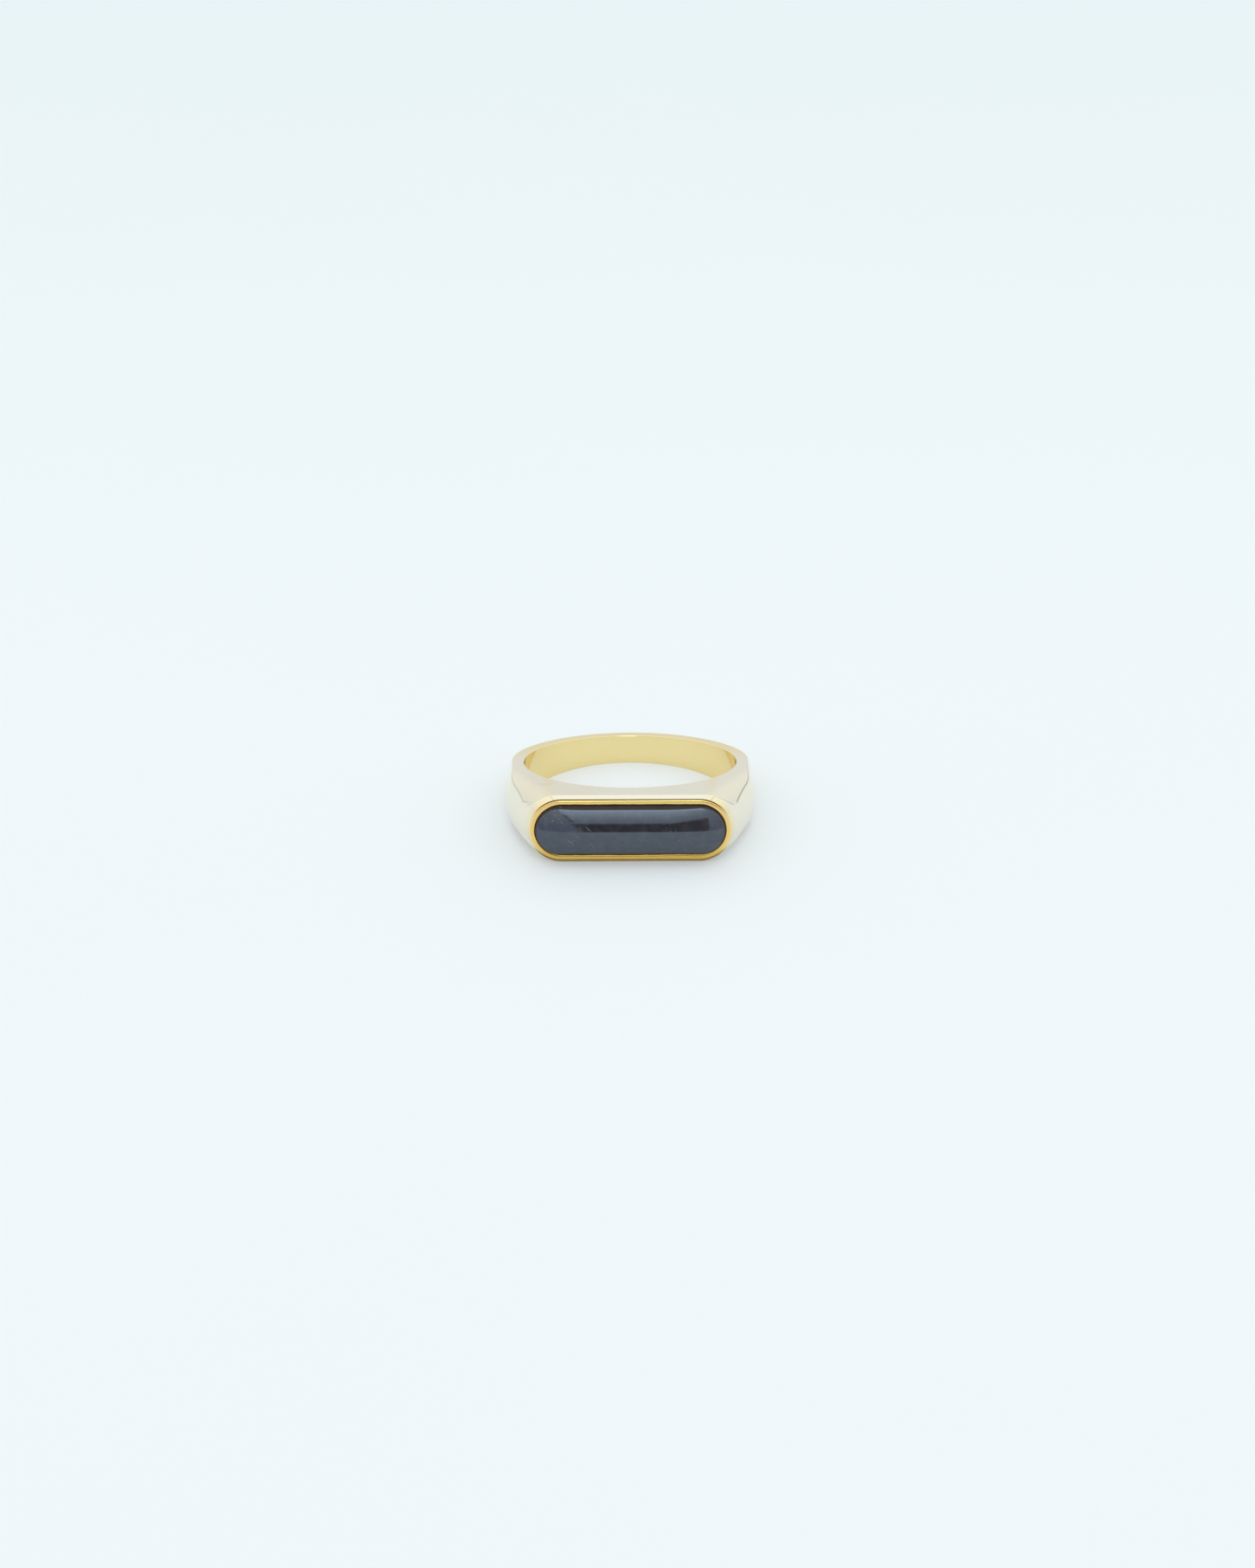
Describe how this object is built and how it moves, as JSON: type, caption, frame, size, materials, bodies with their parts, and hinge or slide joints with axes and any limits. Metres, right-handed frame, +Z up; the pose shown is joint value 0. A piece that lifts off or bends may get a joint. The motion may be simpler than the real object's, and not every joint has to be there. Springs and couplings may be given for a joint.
{
  "type": "signet ring",
  "caption": "Finger ring with tapered flat sides, leaning shoulders and a bar-shaped head that holds a long round-ended dark cabochon in a thin bezel.",
  "frame": {"origin": "centre of the object's box on the surface that the ring lies on", "axes": "+Z up from the lower flat side, -Y towards the stone, X along the stone; the finger axis leans 4.56 degrees from +Z towards +Y"},
  "size_m": [0.02, 0.0228, 0.0055],
  "materials": {
    "ring_gold": "pale yellow gold, mirror polished",
    "bezel_gold": "yellow gold, burnished",
    "dark_stone": "blue-black, polished, with fine surface specks",
    "cement": "cured jeweller's cement"
  },
  "bodies": {
    "root": {"ring_body": "ring_gold", "bezel_collet": "bezel_gold", "bearing_wire": "bezel_gold", "setting_cement": "cement", "stone": "dark_stone"}
  },
  "joints": []
}
